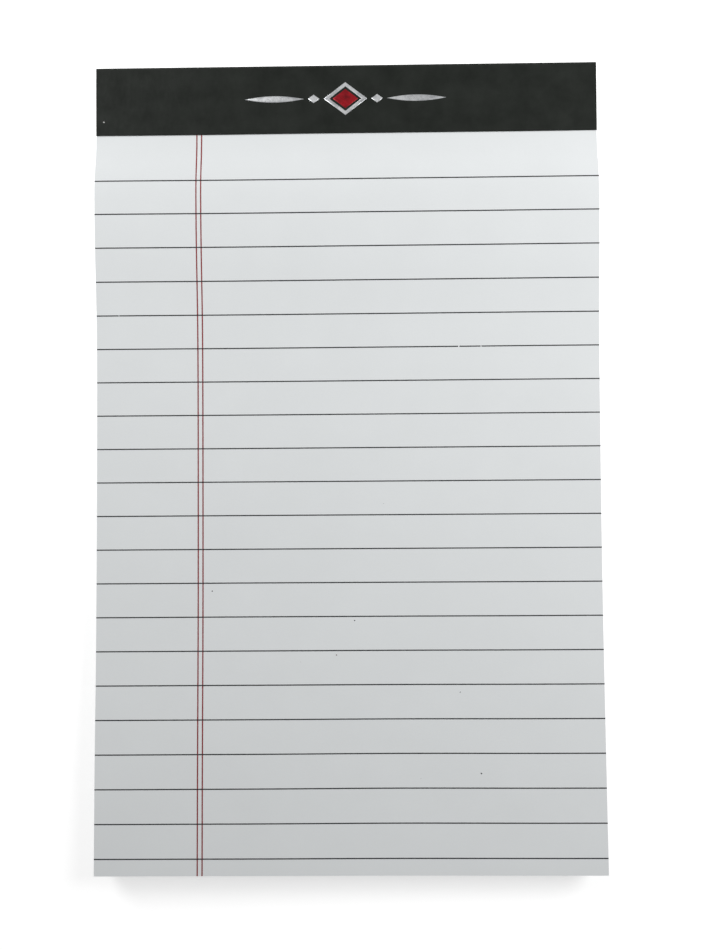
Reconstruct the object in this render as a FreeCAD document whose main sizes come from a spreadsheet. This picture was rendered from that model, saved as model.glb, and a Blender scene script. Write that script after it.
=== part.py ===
import FreeCAD, Part
import os
import Sketcher
from FreeCAD import Vector

# Junior legal pad lying on its back, writing face up.
# Frame: millimetres, +Z up, the bound head towards +Y, the margin rule on the -X side.
# The origin is the middle of the pad's back.

doc = FreeCAD.newDocument("legal_pad")

# Sizes
SIZES = {
    # whole pad
    "pad_width": 127.0,
    "pad_length": 203.2,
    # chipboard back
    "board_thickness": 0.9,
    # block of leaves: pressed at the head, puffed up to a crest just below the strip, pressed
    # again at a trough, and fanning upwards from there to the foot
    "head_thickness": 4.5,
    "puff_rise": 1.3,
    "puff_reach": 16.0,
    "trough_reach": 57.0,
    "foot_rise": 2.6,
    # leatherette strip folded over the head
    "strip_thickness": 0.22,
    "front_flap": 17.5,
    "back_flap": 16.0,
    "fold_radius": 0.4,
    "flap_gap": 0.1,
    # flat wire staples under the strip
    "wire_thickness": 0.5,
    "wire_width": 0.7,
    "crown_length": 13.0,
    "wire_bend": 1.0,
    "clinch_reach": 4.8,
    "staple_spacing": 66.0,
    "staple_inset": 8.0,
    "wire_clearance": 0.05,
    # printed lines
    "ink_thickness": 0.08,
    "rule_width": 0.27,
    "rule_pitch": 8.47,
    "first_rule": 29.65,
    "rule_count": 21,
    "margin_width": 0.3,
    "margin_offset": 25.65,
    "margin_gap": 1.2,
    # stamped foil ornament on the strip
    "foil_thickness": 0.08,
    "ornament_span": 51.0,
    "ornament_gap": 1.1,
    "swelled_rule": 1.6,
    "bead_width": 2.9,
    "bead_height": 2.2,
    "lozenge_width": 11.0,
    "lozenge_height": 8.4,
    "frame_width": 0.85,
    "red_width": 6.4,
    "red_height": 4.9,
}

sheet = doc.addObject("Spreadsheet::Sheet", "Sizes")
for row, (alias, size) in enumerate(SIZES.items(), start=1):
    sheet.set(f"A{row}", alias)
    sheet.set(f"B{row}", str(size))
    sheet.setAlias(f"B{row}", alias)
doc.recompute()

# Places that several pieces share, written once as expressions on the sizes
HALF_WIDTH = "Sizes.pad_width / 2"
HEAD = "Sizes.pad_length / 2"
FOOT = "-Sizes.pad_length / 2"
HEAD_INSIDE = "Sizes.pad_length / 2 - Sizes.strip_thickness"
FLAP_EDGE = "Sizes.pad_length / 2 - Sizes.front_flap"
BACK_EDGE = "Sizes.pad_length / 2 - Sizes.back_flap"
BOARD_TOP = "Sizes.board_thickness"
PAGE_TOP = "Sizes.board_thickness + Sizes.head_thickness"
STRIP_TOP = "Sizes.board_thickness + Sizes.head_thickness + Sizes.strip_thickness"
CREST = f"{FLAP_EDGE} - Sizes.puff_reach"
CREST_TOP = f"{PAGE_TOP} + Sizes.puff_rise"
TROUGH = f"{FLAP_EDGE} - Sizes.trough_reach"

ORIGIN_POINT = (-1, 1)
AXIS_ALONG = -1
AXIS_UP = -2
START, END, CENTRE = 1, 2, 3
TOUCH = 1e-4
PAIR = 2
ABOVE, BELOW = 1, -1


def value(expression):
    """Number that an expression on the sizes comes to."""
    return float(sheet.evalExpression(expression))


def new_body(label):
    """Empty body that carries one piece of the pad."""
    body = doc.addObject("PartDesign::Body", label)
    body.Label = label
    return body


def origin_feature(body, role):
    """Plane or axis of the body's own origin."""
    return next(item for item in body.Origin.OriginFeatures if item.Role == role)


def new_sketch(body, name, plane, lift="0"):
    """Sketch on one origin plane of the body, lifted off it along its normal."""
    sketch = body.newObject("Sketcher::SketchObject", name)
    sketch.AttachmentSupport = (origin_feature(body, plane), [""])
    sketch.MapMode = "FlatFace"
    if lift != "0":
        sketch.setExpression("AttachmentOffset.Base.z", lift)
    return sketch


def hold_along(sketch, point, along):
    """Tie one point of the sketch to its place along the first axis."""
    place = value(along)
    if place == 0:
        sketch.addConstraint(Sketcher.Constraint("PointOnObject", *point, AXIS_UP))
        return
    index = sketch.addConstraint(Sketcher.Constraint("DistanceX", *ORIGIN_POINT, *point, place))
    sketch.setExpression(f"Constraints[{index}]", along)


def hold_up(sketch, point, up):
    """Tie one point of the sketch to its place along the second axis."""
    place = value(up)
    if place == 0:
        sketch.addConstraint(Sketcher.Constraint("PointOnObject", *point, AXIS_ALONG))
        return
    index = sketch.addConstraint(Sketcher.Constraint("DistanceY", *ORIGIN_POINT, *point, place))
    sketch.setExpression(f"Constraints[{index}]", up)


def hold(sketch, point, along, up):
    """Tie one point of the sketch to both of its places."""
    hold_along(sketch, point, along)
    hold_up(sketch, point, up)


def join(sketch, first, second):
    """Make two end points one."""
    sketch.addConstraint(Sketcher.Constraint("Coincident", *first, *second))


def add_line(sketch, start, end):
    """Straight edge between two places given as pairs of expressions."""
    ends = [Vector(value(along), value(up), 0) for along, up in (start, end)]
    return sketch.addGeometry(Part.LineSegment(*ends))


def closed_outline(sketch, corners):
    """Closed outline of straight edges with every corner tied to the sizes."""
    edges = [add_line(sketch, a, b) for a, b in zip(corners, corners[1:] + corners[:1])]
    for edge, following in zip(edges, edges[1:] + edges[:1]):
        join(sketch, (edge, END), (following, START))
    for edge, (along, up) in zip(edges, corners):
        hold(sketch, (edge, START), along, up)


def rectangle(sketch, left, right, low, high):
    """Rectangle between two places along and two places up."""
    closed_outline(sketch, [(left, low), (right, low), (right, high), (left, high)])


def halfway(first, second):
    """Expression for the middle between two places."""
    return f"(({first}) + ({second})) / 2"


def bend_radius(run, rise):
    """Radius of an arc that leaves the level and rises over a run."""
    return f"((({run}) * ({run}) + ({rise}) * ({rise})) / (2 * ({rise})))"


PUFF_RADIUS = bend_radius("Sizes.puff_reach / 2", "Sizes.puff_rise / 2")
FALL_RADIUS = bend_radius("(Sizes.trough_reach - Sizes.puff_reach) / 2", "Sizes.puff_rise / 2")
FAN_RADIUS = bend_radius(f"{TROUGH} - ({FOOT})", "Sizes.foot_rise")
PUFF_MIDDLE = halfway(FLAP_EDGE, CREST)
FALL_MIDDLE = halfway(CREST, TROUGH)
# Arcs of the top leaf from the strip to the foot: where each starts and ends along the pad,
# where its centre stands, its radius, and whether the centre is above or below the leaf
PAGE_ARCS = [
    (FLAP_EDGE, PUFF_MIDDLE, FLAP_EDGE, f"{PAGE_TOP} + {PUFF_RADIUS}", PUFF_RADIUS, ABOVE),
    (PUFF_MIDDLE, CREST, CREST, f"{CREST_TOP} - {PUFF_RADIUS}", PUFF_RADIUS, BELOW),
    (CREST, FALL_MIDDLE, CREST, f"{CREST_TOP} - {FALL_RADIUS}", FALL_RADIUS, BELOW),
    (FALL_MIDDLE, TROUGH, TROUGH, f"{PAGE_TOP} + {FALL_RADIUS}", FALL_RADIUS, ABOVE),
    (TROUGH, FOOT, TROUGH, f"{PAGE_TOP} + {FAN_RADIUS}", FAN_RADIUS, ABOVE),
]


def page_curve(sketch, lift):
    """Curve of the top leaf from the strip to the foot, lifted off the leaf.

    Each arc is tied by its centre and by where it ends along the pad; the caller ties the
    height of the first point. Returns the curve's first and last points.
    """
    joints = []
    for near, far, along, up, radius, side in PAGE_ARCS:
        centre = Vector(value(along), value(up), 0)
        reach = value(radius) - side * value(lift)
        circle = Part.Circle(centre, Vector(0, 0, 1), reach)
        ends = []
        for place in (near, far):
            across = value(place) - centre.x
            drop = -side * (reach * reach - across * across) ** 0.5
            ends.append(circle.parameter(centre + Vector(across, drop, 0)))
        first, last = ends[::-side]
        arc = sketch.addGeometry(Part.ArcOfCircle(circle, first, last))
        start, end = ((arc, END), (arc, START)) if side == ABOVE else ((arc, START), (arc, END))
        hold(sketch, (arc, CENTRE), along, up)
        hold_along(sketch, end, far)
        if joints:
            join(sketch, joints[-1], start)
        joints += [start, end]
    return joints[0], joints[-1]


def pad_through(body, sketch, length, name):
    """Pad the sketch evenly to both sides of its plane."""
    pad = body.newObject("PartDesign::Pad", name)
    pad.Profile = sketch
    pad.SideType = "Symmetric"
    pad.setExpression("Length", length)
    return pad


def pad_up(body, sketch, length, name):
    """Pad the sketch to one side of its plane."""
    pad = body.newObject("PartDesign::Pad", name)
    pad.Profile = sketch
    pad.setExpression("Length", length)
    return pad


def pocket_through(body, sketch, name):
    """Cut the sketch right through the body, both ways."""
    pocket = body.newObject("PartDesign::Pocket", name)
    pocket.Profile = sketch
    pocket.SideType = "Symmetric"
    pocket.Type = "ThroughAll"
    return pocket


def round_edges(body, feature, chosen, name, radius="Sizes.fold_radius"):
    """Round the edges of a feature whose middle point passes a test."""
    doc.recompute()
    edges = [
        f"Edge{number}"
        for number, edge in enumerate(feature.Shape.Edges, start=1)
        if chosen(edge.CenterOfMass)
    ]
    fillet = body.newObject("PartDesign::Fillet", name)
    fillet.Base = (feature, edges)
    fillet.setExpression("Radius", radius)
    return fillet


def at(place, along, up):
    """Test for an edge's middle point lying at one place in Y and Z."""
    return abs(place.y - value(along)) < TOUCH and abs(place.z - value(up)) < TOUCH


# Staples of flat wire: a crown level with the top leaf, legs down through the leaves and
# the board, and ends clinched inwards, level with the step that takes the back flap.
# The same outline, grown by a clearance, is the channel that they lie in.
STAPLE_FOOT = f"Sizes.strip_thickness - ({PAGE_TOP})"
WIRE = "Sizes.wire_thickness"


def wire_outline(sketch, grow):
    """Side of one staple, open between its clinched ends, grown evenly by a clearance."""
    outside = f"(Sizes.crown_length / 2 + {grow})"
    inside = f"({outside} - {WIRE} - 2 * {grow})"
    end = f"(Sizes.crown_length / 2 - Sizes.clinch_reach - {grow})"
    top = grow
    crown_under = f"-({WIRE} + {grow})"
    foot = f"{STAPLE_FOOT} - {grow}"
    clinch_over = f"{STAPLE_FOOT} + {WIRE} + {grow}"
    right = [
        (outside, top),
        (outside, foot),
        (end, foot),
        (end, clinch_over),
        (inside, clinch_over),
        (inside, crown_under),
    ]
    left = [(f"-{along}", up) for along, up in reversed(right)]
    closed_outline(sketch, right + left)
    return outside, inside


def staple_pair(label, grow):
    """Both staples, or their channels when the wire is grown by a clearance."""
    body = new_body(label)
    sketch = new_sketch(body, "wire_side", "XZ_Plane")
    outside, inside = wire_outline(sketch, grow)
    shape = pad_through(body, sketch, f"Sizes.wire_width + 2 * {grow}", "wire_pad")
    bends = [
        (outside, f"Sizes.wire_bend + {grow}", "outer_bends"),
        (inside, f"Sizes.wire_bend - {WIRE} - {grow}", "inner_bends"),
    ]
    for along, radius, name in bends:
        reach = value(along)
        shape = round_edges(
            body,
            shape,
            lambda place: abs(abs(place.x) - reach) < TOUCH and abs(place.y) < TOUCH,
            name,
            radius,
        )
    pair = body.newObject("PartDesign::LinearPattern", "pair")
    pair.TransformMode = "Whole shape"
    pair.Direction = (origin_feature(body, "X_Axis"), [""])
    pair.Mode = "Spacing"
    pair.setExpression("Offset", "Sizes.staple_spacing")
    pair.Occurrences = PAIR
    body.Tip = pair
    body.setExpression("Placement.Base.x", "-Sizes.staple_spacing / 2")
    body.setExpression("Placement.Base.y", f"{HEAD} - Sizes.staple_inset")
    body.setExpression("Placement.Base.z", PAGE_TOP)
    return body


staples = staple_pair("staples", "0")
channels = staple_pair("staple_channels", "Sizes.wire_clearance")


def pierce(body, label):
    """Piece with the staples' channels cut through it."""
    piece = doc.addObject("Part::Cut", label)
    piece.Base = body
    piece.Tool = channels
    piece.Label = label
    return piece


# Chipboard back: a step pressed into its underside takes the strip's back flap, so that
# the pad lies flat; its edge is rounded where the strip folds.
board_body = new_body("board_blank")
board_side = new_sketch(board_body, "board_side", "YZ_Plane")
STEP_EDGE = f"{BACK_EDGE} - Sizes.flap_gap"
closed_outline(
    board_side,
    [
        (FOOT, "0"),
        (STEP_EDGE, "0"),
        (STEP_EDGE, "Sizes.strip_thickness"),
        (HEAD_INSIDE, "Sizes.strip_thickness"),
        (HEAD_INSIDE, BOARD_TOP),
        (FOOT, BOARD_TOP),
    ],
)
board_pad = pad_through(board_body, board_side, "Sizes.pad_width", "board_pad")
board_body.Tip = round_edges(
    board_body,
    board_pad,
    lambda place: at(place, HEAD_INSIDE, "Sizes.strip_thickness"),
    "board_fold_edge",
)
backing_board = pierce(board_body, "backing_board")

# Block of ruled leaves: pressed level under the strip, puffed up below it, and fanning to the
# foot
block_body = new_body("leaf_block")
block_side = new_sketch(block_body, "leaf_block_side", "YZ_Plane")
block_corners = [
    (FLAP_EDGE, PAGE_TOP),
    (HEAD_INSIDE, PAGE_TOP),
    (HEAD_INSIDE, BOARD_TOP),
    (FOOT, BOARD_TOP),
    (FOOT, f"{PAGE_TOP} + Sizes.foot_rise"),
]
block_edges = [add_line(block_side, a, b) for a, b in zip(block_corners, block_corners[1:])]
page_head, page_foot = page_curve(block_side, "0")
for edge, following in zip(block_edges, block_edges[1:]):
    join(block_side, (edge, END), (following, START))
for edge, (along, up) in zip(block_edges, block_corners):
    hold(block_side, (edge, START), along, up)
join(block_side, (block_edges[0], START), page_head)
join(block_side, (block_edges[-1], END), page_foot)
block_pad = pad_through(block_body, block_side, "Sizes.pad_width", "leaf_block_pad")
block_body.Tip = round_edges(
    block_body,
    block_pad,
    lambda place: at(place, HEAD_INSIDE, PAGE_TOP),
    "leaf_block_fold_edge",
)
ruled_sheets = pierce(block_body, "ruled_sheets")

# Binding strip: one leatherette sheet folded over the head, glued to the top leaf in front
# and to the board behind
strip_body = new_body("binding_strip")
strip_side = new_sketch(strip_body, "strip_side", "YZ_Plane")
closed_outline(
    strip_side,
    [
        (FLAP_EDGE, STRIP_TOP),
        (HEAD, STRIP_TOP),
        (HEAD, "0"),
        (BACK_EDGE, "0"),
        (BACK_EDGE, "Sizes.strip_thickness"),
        (HEAD_INSIDE, "Sizes.strip_thickness"),
        (HEAD_INSIDE, PAGE_TOP),
        (FLAP_EDGE, PAGE_TOP),
    ],
)
strip_pad = pad_through(strip_body, strip_side, "Sizes.pad_width", "strip_pad")
inner_folds = round_edges(
    strip_body,
    strip_pad,
    lambda place: at(place, HEAD_INSIDE, "Sizes.strip_thickness")
    or at(place, HEAD_INSIDE, PAGE_TOP),
    "inner_folds",
)
strip_body.Tip = round_edges(
    strip_body,
    inner_folds,
    lambda place: at(place, HEAD, "0") or at(place, HEAD, STRIP_TOP),
    "outer_folds",
    "Sizes.fold_radius + Sizes.strip_thickness",
)


def ink_skin(body):
    """Profile of a film of ink that follows the top leaf from the strip to the foot."""
    sketch = new_sketch(body, "ink_side", "YZ_Plane")
    under = page_curve(sketch, "0")
    over = page_curve(sketch, "Sizes.ink_thickness")
    hold(sketch, under[0], FLAP_EDGE, PAGE_TOP)
    hold(sketch, over[0], FLAP_EDGE, f"{PAGE_TOP} + Sizes.ink_thickness")
    for low, high in zip(under, over):
        side = sketch.addGeometry(
            Part.LineSegment(sketch.getPoint(*low), sketch.getPoint(*high))
        )
        join(sketch, (side, START), low)
        join(sketch, (side, END), high)
    return sketch


# Horizontal rules: the film is cut away between them, and where the margin rules cross them
rules_body = new_body("rule_lines")
rules_pad = pad_through(rules_body, ink_skin(rules_body), "Sizes.pad_width", "ruled_film")
FIRST_RULE = f"{HEAD} - Sizes.first_rule"
HALF_RULE = "Sizes.rule_width / 2"
LAST_RULE = f"{FIRST_RULE} - (Sizes.rule_count - 1) * Sizes.rule_pitch"
gap_sketch = new_sketch(rules_body, "gap_between_rules", "XY_Plane")
rectangle(
    gap_sketch,
    f"-({HALF_WIDTH})",
    HALF_WIDTH,
    f"{FIRST_RULE} - Sizes.rule_pitch + {HALF_RULE}",
    f"{FIRST_RULE} - {HALF_RULE}",
)
gap_cut = pocket_through(rules_body, gap_sketch, "gap_cut")
gaps = rules_body.newObject("PartDesign::LinearPattern", "gaps")
gaps.Originals = [gap_cut]
gaps.Direction = (origin_feature(rules_body, "Y_Axis"), [""])
gaps.Reversed = True
gaps.Mode = "Spacing"
gaps.setExpression("Offset", "Sizes.rule_pitch")
gaps.setExpression("Occurrences", "Sizes.rule_count - 1")
rules_body.Tip = gaps
ends_sketch = new_sketch(rules_body, "head_and_foot_space", "XY_Plane")
rectangle(ends_sketch, f"-({HALF_WIDTH})", HALF_WIDTH, f"{FIRST_RULE} + {HALF_RULE}", HEAD)
rectangle(ends_sketch, f"-({HALF_WIDTH})", HALF_WIDTH, FOOT, f"{LAST_RULE} - {HALF_RULE}")
pocket_through(rules_body, ends_sketch, "head_and_foot_cut")
MARGIN = f"Sizes.margin_offset - {HALF_WIDTH}"
crossing_sketch = new_sketch(rules_body, "margin_crossings", "XY_Plane")
for shift in ("", " + Sizes.margin_gap"):
    left = f"{MARGIN}{shift} - Sizes.margin_width / 2"
    rectangle(crossing_sketch, left, f"{left} + Sizes.margin_width", FOOT, FLAP_EDGE)
rules_body.Tip = pocket_through(rules_body, crossing_sketch, "margin_cut")

# Margin rules: a narrow film down the page, and its fellow beside it
margin_body = new_body("margin_lines")
margin_pad = pad_through(margin_body, ink_skin(margin_body), "Sizes.margin_width", "margin_film")
margin_pair = margin_body.newObject("PartDesign::LinearPattern", "margin_pair")
margin_pair.Originals = [margin_pad]
margin_pair.Direction = (origin_feature(margin_body, "X_Axis"), [""])
margin_pair.Mode = "Spacing"
margin_pair.setExpression("Offset", "Sizes.margin_gap")
margin_pair.Occurrences = PAIR
margin_body.Tip = margin_pair
margin_body.setExpression("Placement.Base.x", MARGIN)


# Foil ornament: a framed lozenge, with a bead and a swelled rule to each side of it
def lozenge(sketch, width, height, middle="0"):
    """Upright lozenge whose middle stands at one place along the ornament."""
    side = f"({width}) / 2"
    tip = f"({height}) / 2"
    corners = [
        (f"{middle} - {side}", "0"),
        (middle, f"-{tip}"),
        (f"{middle} + {side}", "0"),
        (middle, tip),
    ]
    closed_outline(sketch, corners)


def swelled_rule(sketch, left, right):
    """Rule that swells from two points to its middle, between two arcs."""
    half = f"(({right}) - ({left})) / 2"
    sag = "(Sizes.swelled_rule / 2)"
    radius = f"({half} * {half} / {sag} + {sag}) / 2"
    middle = Vector((value(left) + value(right)) / 2, 0, 0)
    tips = [Vector(value(left), 0, 0), Vector(value(right), 0, 0)]
    arcs = []
    for side in (1, -1):
        crest = middle + Vector(0, side * value(sag), 0)
        order = tips[::-1] if side > 0 else tips
        arc = sketch.addGeometry(Part.Arc(order[0], crest, order[1]))
        index = sketch.addConstraint(Sketcher.Constraint("Radius", arc, value(radius)))
        sketch.setExpression(f"Constraints[{index}]", radius)
        arcs.append(arc)
    upper, lower = arcs
    join(sketch, (upper, START), (lower, END))
    join(sketch, (upper, END), (lower, START))
    hold(sketch, (upper, START), right, "0")
    hold(sketch, (upper, END), left, "0")


def foil_body(label):
    """Body for foil stamped on the middle of the front flap."""
    body = new_body(label)
    body.setExpression("Placement.Base.y", f"{HEAD} - Sizes.front_flap / 2")
    body.setExpression("Placement.Base.z", STRIP_TOP)
    return body


silver_body = foil_body("silver_foil")
silver_sketch = new_sketch(silver_body, "silver_outline", "XY_Plane")
FRAME_INSIDE = "(1 - 2 * Sizes.frame_width / Sizes.lozenge_height)"
BEAD = "(Sizes.lozenge_width / 2 + Sizes.ornament_gap + Sizes.bead_width / 2)"
RULE_START = f"({BEAD} + Sizes.bead_width / 2 + Sizes.ornament_gap)"
lozenge(silver_sketch, "Sizes.lozenge_width", "Sizes.lozenge_height")
lozenge(
    silver_sketch,
    f"Sizes.lozenge_width * {FRAME_INSIDE}",
    f"Sizes.lozenge_height * {FRAME_INSIDE}",
)
for side in ("", "-"):
    lozenge(silver_sketch, "Sizes.bead_width", "Sizes.bead_height", f"{side}{BEAD}")
swelled_rule(silver_sketch, RULE_START, "Sizes.ornament_span / 2")
swelled_rule(silver_sketch, "-Sizes.ornament_span / 2", f"-{RULE_START}")
silver_body.Tip = pad_up(silver_body, silver_sketch, "Sizes.foil_thickness", "silver_pad")

red_body = foil_body("red_foil")
red_sketch = new_sketch(red_body, "red_outline", "XY_Plane")
lozenge(red_sketch, "Sizes.red_width", "Sizes.red_height")
red_body.Tip = pad_up(red_body, red_sketch, "Sizes.foil_thickness", "red_pad")

doc.recompute()

PIECES = [
    backing_board,
    ruled_sheets,
    strip_body,
    staples,
    rules_body,
    margin_body,
    silver_body,
    red_body,
]
for item in doc.Objects:
    if "Invalid" in item.State or "Error" in item.State:
        raise RuntimeError(f"{item.Label}: {item.State}")
os.makedirs("parts", exist_ok=True)
for piece in PIECES:
    if piece.Shape.isNull() or not piece.Shape.isValid():
        raise RuntimeError(f"{piece.Label}: no valid shape")
    piece.Shape.exportStep(f"parts/{piece.Label}.step")
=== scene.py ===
import logging
import math
import random
from dataclasses import dataclass, field
from enum import Enum
from typing import Callable, Sequence

import bpy
from mathutils import Matrix, Vector
from mathutils import noise as smooth_noise


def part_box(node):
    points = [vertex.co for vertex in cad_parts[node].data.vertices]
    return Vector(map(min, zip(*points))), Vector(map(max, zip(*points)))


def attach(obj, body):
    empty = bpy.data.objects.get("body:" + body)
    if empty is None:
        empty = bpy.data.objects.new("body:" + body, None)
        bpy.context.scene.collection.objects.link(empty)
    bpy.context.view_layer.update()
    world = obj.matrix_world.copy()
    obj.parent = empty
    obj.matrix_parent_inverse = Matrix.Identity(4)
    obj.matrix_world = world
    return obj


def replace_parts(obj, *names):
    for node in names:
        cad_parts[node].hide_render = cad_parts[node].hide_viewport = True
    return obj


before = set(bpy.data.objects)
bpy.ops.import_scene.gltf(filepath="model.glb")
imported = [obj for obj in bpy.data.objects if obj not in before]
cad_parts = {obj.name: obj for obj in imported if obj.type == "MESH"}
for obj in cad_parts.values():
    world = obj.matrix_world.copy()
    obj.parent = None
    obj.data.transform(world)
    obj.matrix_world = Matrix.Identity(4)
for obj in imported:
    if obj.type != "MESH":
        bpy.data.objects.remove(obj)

MM = 0.001
BODY = "root"
SHARP_ANGLE = math.radians(35)
WHITE = (1.0, 1.0, 1.0, 1.0)
# Most values of a noise pattern lie between these two.
NOISE_LOW, NOISE_HIGH = 0.3, 0.7
log = logging.getLogger("legal_pad")

Point = tuple[float, float, float]
Colour = tuple[float, float, float, float]
Height = Callable[[float, float], float]


def spread(low: float, high: float, count: int) -> list[float]:
    """Evenly spaced numbers from low to high, both ends included."""
    return [low + (high - low) * k / (count - 1) for k in range(count)]


def linear(red: int, green: int, blue: int) -> Colour:
    """Scene colour for a display colour.

    Args:
        red: share of red, 0 to 255.
        green: share of green, 0 to 255.
        blue: share of blue, 0 to 255.

    Returns:
        The same colour as the shaders take it.
    """

    def channel(step: int) -> float:
        """One share, turned from its display step to the light that it stands for."""
        share = step / 255
        return share / 12.92 if share <= 0.04045 else ((share + 0.055) / 1.055) ** 2.4

    return (channel(red), channel(green), channel(blue), 1.0)


def scaled(colour: Colour, factor: float) -> Colour:
    """The colour made lighter or darker by one factor."""
    return (colour[0] * factor, colour[1] * factor, colour[2] * factor, 1.0)


# Sizes of the pad


@dataclass(frozen=True)
class PadSizes:
    """Outer sizes of the pad, read from the frame's pieces."""

    half_width: float
    foot: float
    head: float
    head_inside: float
    flap_edge: float
    back_edge: float
    board_top: float
    page_top: float
    foot_top: float
    strip_thickness: float
    fold_radius: float = 0.4 * MM
    back_flap: float = 16.0 * MM

    @classmethod
    def from_frame(cls) -> "PadSizes":
        """Read the boxes of the board, the leaves and the strip.

        Returns:
            The sizes that the pieces are built to.
        """
        board_low, board_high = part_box("backing_board")
        _, leaf_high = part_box("ruled_sheets")
        strip_low, strip_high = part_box("binding_strip")
        thickness = strip_high.y - leaf_high.y
        return cls(
            half_width=board_high.x,
            foot=board_low.y,
            head=strip_high.y,
            head_inside=leaf_high.y,
            flap_edge=strip_low.y,
            back_edge=strip_high.y - cls.back_flap,
            board_top=board_high.z,
            page_top=strip_high.z - thickness,
            foot_top=leaf_high.z,
            strip_thickness=thickness,
        )


@dataclass(frozen=True)
class Waviness:
    """Broad shallow swells and hollows of the top leaf, as rises at a few places."""

    columns: tuple[float, ...] = (-63.5 * MM, -25 * MM, 12 * MM, 63.5 * MM)
    rows: tuple[float, ...] = (68 * MM, 22 * MM, -28 * MM, -76 * MM)
    rises: tuple[tuple[float, ...], ...] = (
        (0.26 * MM, 0.0, 0.11 * MM, 0.17 * MM),
        (-0.1 * MM, -0.29 * MM, -0.14 * MM, 0.06 * MM),
        (0.03 * MM, -0.17 * MM, -0.13 * MM, -0.15 * MM),
        (0.42 * MM, 0.2 * MM, -0.21 * MM, 0.06 * MM),
    )
    reach_across: float = 24 * MM
    reach_along: float = 28 * MM

    def rise(self, x: float, y: float) -> float:
        """Rise or fall of the leaf at one place, all swells taken together.

        Args:
            x: place across the pad.
            y: place along the pad, towards the head.

        Returns:
            Height above the leaf's mean form, below it where negative.
        """
        total = 0.0
        for row, rises in zip(self.rows, self.rises):
            along = math.exp(-(((y - row) / self.reach_along) ** 2))
            for column, rise in zip(self.columns, rises):
                total += rise * along * math.exp(-(((x - column) / self.reach_across) ** 2))
        return total


@dataclass(frozen=True)
class PageForm:
    """Form of the top leaf, seen from the side and across.

    It is pressed level under the strip, puffs up to a crest just below it, falls back to a
    trough, and fans upwards from there to the foot. A faint ridge runs down the right side.
    """

    pad: PadSizes
    waviness: Waviness = Waviness()
    puff_rise: float = 1.3 * MM
    puff_reach: float = 16.0 * MM
    trough_reach: float = 57.0 * MM
    settling: float = 10.0 * MM
    ridge: float = 0.3 * MM
    ridge_x: float = 46.0 * MM
    ridge_width: float = 17.0 * MM

    def bend(self, beyond: float, run: float) -> float:
        """Rise of the puff after a way along it, by two arcs that are level at both ends.

        Args:
            beyond: way along the bend, from where it starts.
            run: whole length of the bend.

        Returns:
            Height above the bend's start.
        """
        beyond = min(max(beyond, 0.0), run)
        rise = self.puff_rise
        radius = (run * run + rise * rise) / (4 * rise)
        near = min(beyond, run - beyond)
        drop = radius - math.sqrt(radius * radius - near * near)
        return drop if beyond < run / 2 else rise - drop

    def height(self, x: float, y: float) -> float:
        """Height of the top leaf's face at one place.

        Args:
            x: place across the pad.
            y: place along the pad, towards the head.

        Returns:
            Height above the surface that the pad lies on.
        """
        pad = self.pad
        page = pad.flap_edge - pad.foot
        beyond = min(max(pad.flap_edge - y, 0.0), page)
        puff = self.bend(beyond, self.puff_reach)
        fall = self.bend(beyond - self.puff_reach, self.trough_reach - self.puff_reach)
        run = page - self.trough_reach
        rise = pad.foot_top - pad.page_top
        radius = (run * run / rise + rise) / 2
        fanned = max(beyond - self.trough_reach, 0.0)
        fan = radius - math.sqrt(radius * radius - fanned * fanned)
        share = beyond / page
        across = math.exp(-(((x - self.ridge_x) / self.ridge_width) ** 2))
        ridge = self.ridge * across * share * share * (3 - 2 * share) * (1 - share)
        waves = self.waviness.rise(x, y) * min(beyond / self.settling, 1.0)
        return pad.page_top + puff - fall + fan + ridge + waves

    def level(self, share: float) -> Height:
        """Height of the leaf that lies at one share of the block's thickness."""
        floor = self.pad.board_top
        return lambda x, y: floor + share * (self.height(x, y) - floor)


# Meshes


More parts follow.
